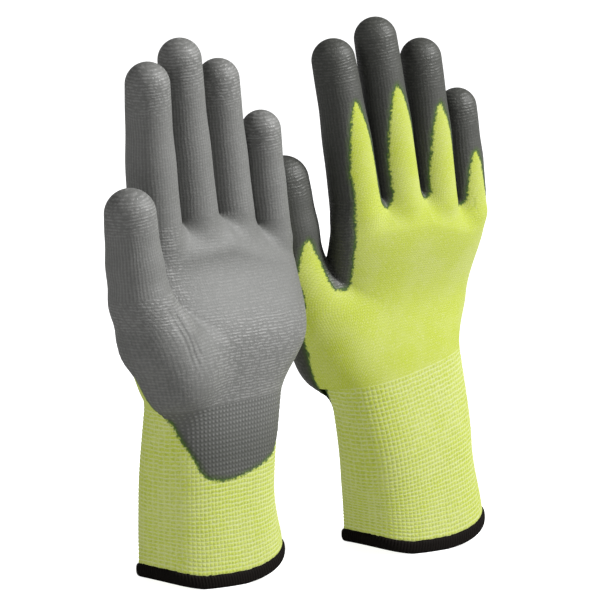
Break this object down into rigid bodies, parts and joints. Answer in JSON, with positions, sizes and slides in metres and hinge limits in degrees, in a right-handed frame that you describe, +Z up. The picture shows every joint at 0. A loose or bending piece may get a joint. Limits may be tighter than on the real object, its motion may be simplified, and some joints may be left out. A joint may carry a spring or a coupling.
{
  "type": "cut resistant glove",
  "caption": "Left and right knitted cut resistant work gloves with dipped grey palms and fingertips, ribbed elastic cuffs and overlocked hems, standing upright; every finger and thumb bends.",
  "frame": {"origin": "on the ground, under the middle of the box round both gloves", "axes": "+Z up along the fingers; the left glove stands at -X with its palm towards -Y, the right glove at +X with its palm towards +Y, both thumbs towards -X"},
  "size_m": [0.2338, 0.067, 0.2379],
  "materials": {
    "liner_knit": "fine seamless plain knit, yellow-green",
    "cuff_rib": "ribbed knit, yellow-green with pale yarns",
    "grip_film": "thin matte dipped film, grey",
    "hem_thread": "overlocked thread, brown-black",
    "elastic_yarn": "covered elastic yarn, pale"
  },
  "bodies": {
    "gloves": {"left_palm_knit": "liner_knit", "left_palm_coating": "grip_film", "left_cuff_knit": "cuff_rib", "left_cuff_elastic": "elastic_yarn", "left_cuff_hem": "hem_thread", "right_palm_knit": "liner_knit", "right_palm_coating": "grip_film", "right_cuff_knit": "cuff_rib", "right_cuff_elastic": "elastic_yarn", "right_cuff_hem": "hem_thread"},
    "left_index": {"left_index_stall": "liner_knit", "left_index_coating": "grip_film"},
    "left_middle": {"left_middle_stall": "liner_knit", "left_middle_coating": "grip_film"},
    "left_ring": {"left_ring_stall": "liner_knit", "left_ring_coating": "grip_film"},
    "left_little": {"left_little_stall": "liner_knit", "left_little_coating": "grip_film"},
    "left_thumb": {"left_thumb_stall": "liner_knit", "left_thumb_coating": "grip_film"},
    "right_index": {"right_index_stall": "liner_knit", "right_index_coating": "grip_film"},
    "right_middle": {"right_middle_stall": "liner_knit", "right_middle_coating": "grip_film"},
    "right_ring": {"right_ring_stall": "liner_knit", "right_ring_coating": "grip_film"},
    "right_little": {"right_little_stall": "liner_knit", "right_little_coating": "grip_film"},
    "right_thumb": {"right_thumb_stall": "liner_knit", "right_thumb_coating": "grip_film"}
  },
  "joints": [
    {"name": "left_index_bend", "type": "hinge", "parent": "gloves", "child": "left_index", "pos_m": [-0.07802, -0.00937, 0.15634], "axis": [0.991, 0, 0.1338], "range_deg": [0, 70], "stiffness_Nm_per_rad": 0.01},
    {"name": "left_middle_bend", "type": "hinge", "parent": "gloves", "child": "left_middle", "pos_m": [-0.05506, -0.00709, 0.15917], "axis": [0.9897, 0, 0.1435], "range_deg": [0, 70], "stiffness_Nm_per_rad": 0.01},
    {"name": "left_ring_bend", "type": "hinge", "parent": "gloves", "child": "left_ring", "pos_m": [-0.03277, -0.0057, 0.15793], "axis": [0.9917, 0, 0.1289], "range_deg": [0, 70], "stiffness_Nm_per_rad": 0.01},
    {"name": "left_little_bend", "type": "hinge", "parent": "gloves", "child": "left_little", "pos_m": [-0.01182, -0.0059, 0.15243], "axis": [0.9923, 0, 0.124], "range_deg": [0, 70], "stiffness_Nm_per_rad": 0.01},
    {"name": "left_thumb_bend", "type": "hinge", "parent": "gloves", "child": "left_thumb", "pos_m": [-0.09764, -0.02641, 0.12927], "axis": [0.9588, 0.2397, 0.1523], "range_deg": [0, 30], "stiffness_Nm_per_rad": 0.01},
    {"name": "right_index_bend", "type": "hinge", "parent": "gloves", "child": "right_index", "pos_m": [0.03998, 0.00937, 0.15634], "axis": [-0.991, 0, -0.1338], "range_deg": [0, 70], "stiffness_Nm_per_rad": 0.01},
    {"name": "right_middle_bend", "type": "hinge", "parent": "gloves", "child": "right_middle", "pos_m": [0.06294, 0.00709, 0.15917], "axis": [-0.9897, 0, -0.1435], "range_deg": [0, 70], "stiffness_Nm_per_rad": 0.01},
    {"name": "right_ring_bend", "type": "hinge", "parent": "gloves", "child": "right_ring", "pos_m": [0.08523, 0.0057, 0.15793], "axis": [-0.9917, 0, -0.1289], "range_deg": [0, 70], "stiffness_Nm_per_rad": 0.01},
    {"name": "right_little_bend", "type": "hinge", "parent": "gloves", "child": "right_little", "pos_m": [0.10618, 0.0059, 0.15243], "axis": [-0.9923, 0, -0.124], "range_deg": [0, 70], "stiffness_Nm_per_rad": 0.01},
    {"name": "right_thumb_bend", "type": "hinge", "parent": "gloves", "child": "right_thumb", "pos_m": [0.02036, 0.02641, 0.12927], "axis": [-0.9588, 0.2397, -0.1523], "range_deg": [0, 30], "stiffness_Nm_per_rad": 0.01}
  ]
}
